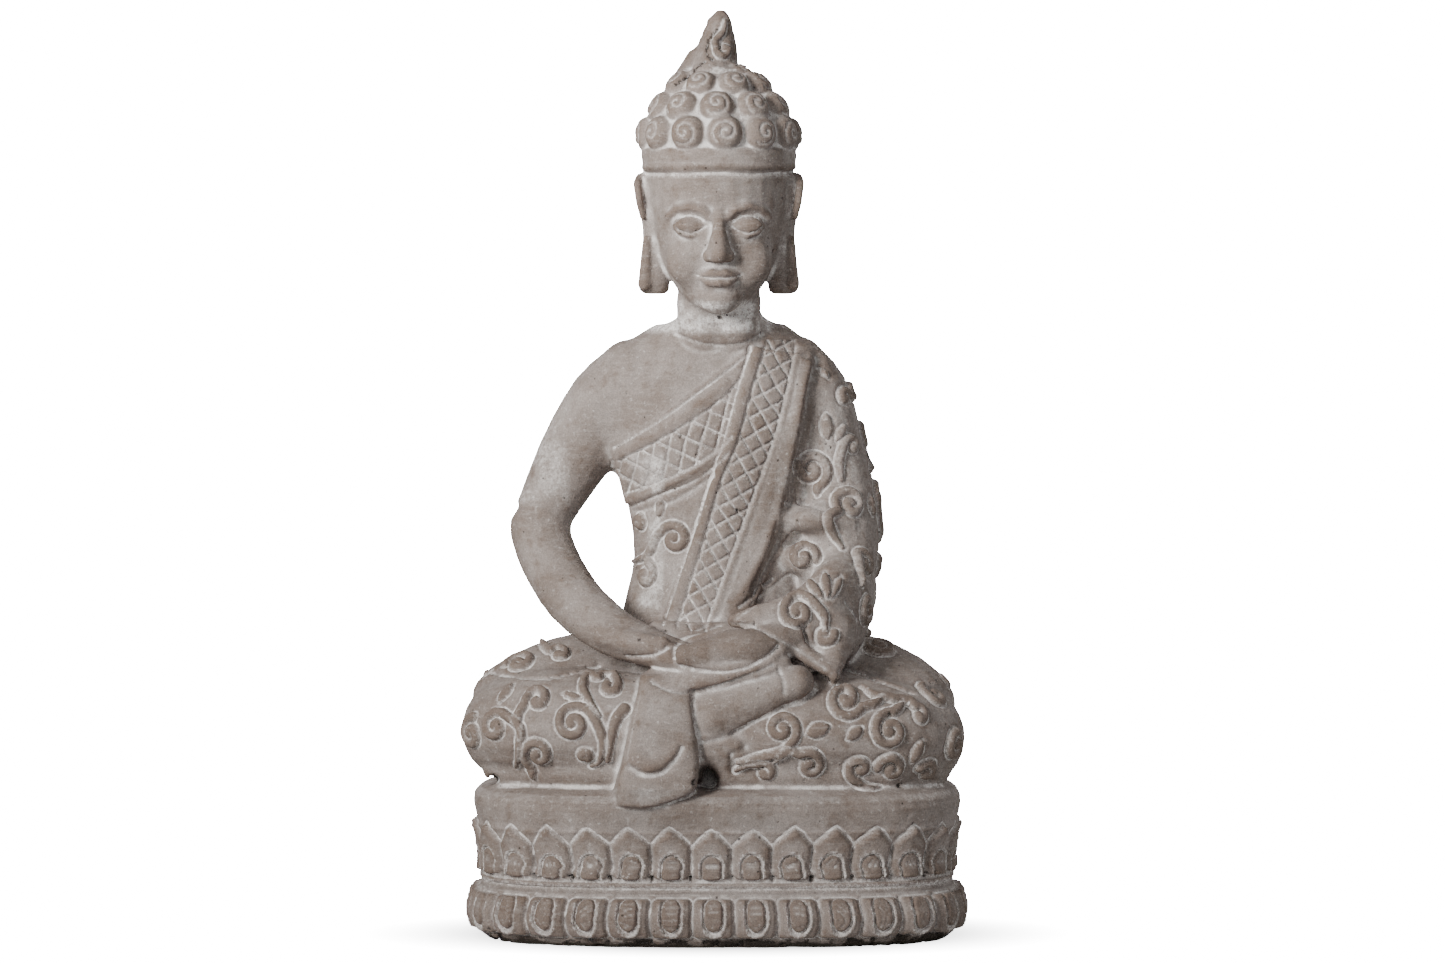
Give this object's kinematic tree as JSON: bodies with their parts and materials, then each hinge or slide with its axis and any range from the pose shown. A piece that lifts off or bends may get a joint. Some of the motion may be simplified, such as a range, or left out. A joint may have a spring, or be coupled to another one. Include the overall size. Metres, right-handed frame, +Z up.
{
  "type": "seated meditating statue",
  "caption": "Seated cross-legged devotional figure on an oval two-tier lotus pedestal, hands folded in its lap, cast in matte cement with a limewash finish.",
  "frame": {"origin": "on the floor, at the centre of the pedestal's footprint", "axes": "+Z up along the statue's height, -Y towards the viewer, the way the figure faces, +X along the width towards the figure's left"},
  "size_m": [0.2727, 0.169, 0.5],
  "materials": {
    "pedestal": "matte cast cement, limewashed and rubbed back",
    "robe": "matte cast cement, limewashed and rubbed back",
    "skin": "matte cast cement, limewashed and rubbed back",
    "hair": "matte cast cement, limewashed and rubbed back",
    "rod": "mild steel reinforcing rod, lightly rusted"
  },
  "bodies": {
    "root": {"pedestal_lower_tier": "pedestal", "lower_petals": "pedestal", "pedestal_waist": "pedestal", "pedestal_upper_tier": "pedestal", "upper_petals": "pedestal", "seat_deck": "pedestal", "right_thigh": "robe", "left_thigh": "robe", "right_shin": "robe", "left_shin": "robe", "right_foot": "skin", "hanging_fold": "robe", "torso": "skin", "core_rod": "rod", "neck": "skin", "right_upper_arm": "skin", "right_forearm": "skin", "right_hand": "skin", "left_sleeve_upper": "robe", "left_sleeve_lower": "robe", "left_hand": "skin", "chest_sash": "robe", "shoulder_sash": "robe", "mantle_fold": "robe", "head": "skin", "right_ear": "skin", "left_ear": "skin", "headband": "hair", "hair_cap": "hair", "hair_curls": "hair", "finial": "hair"}
  },
  "joints": []
}
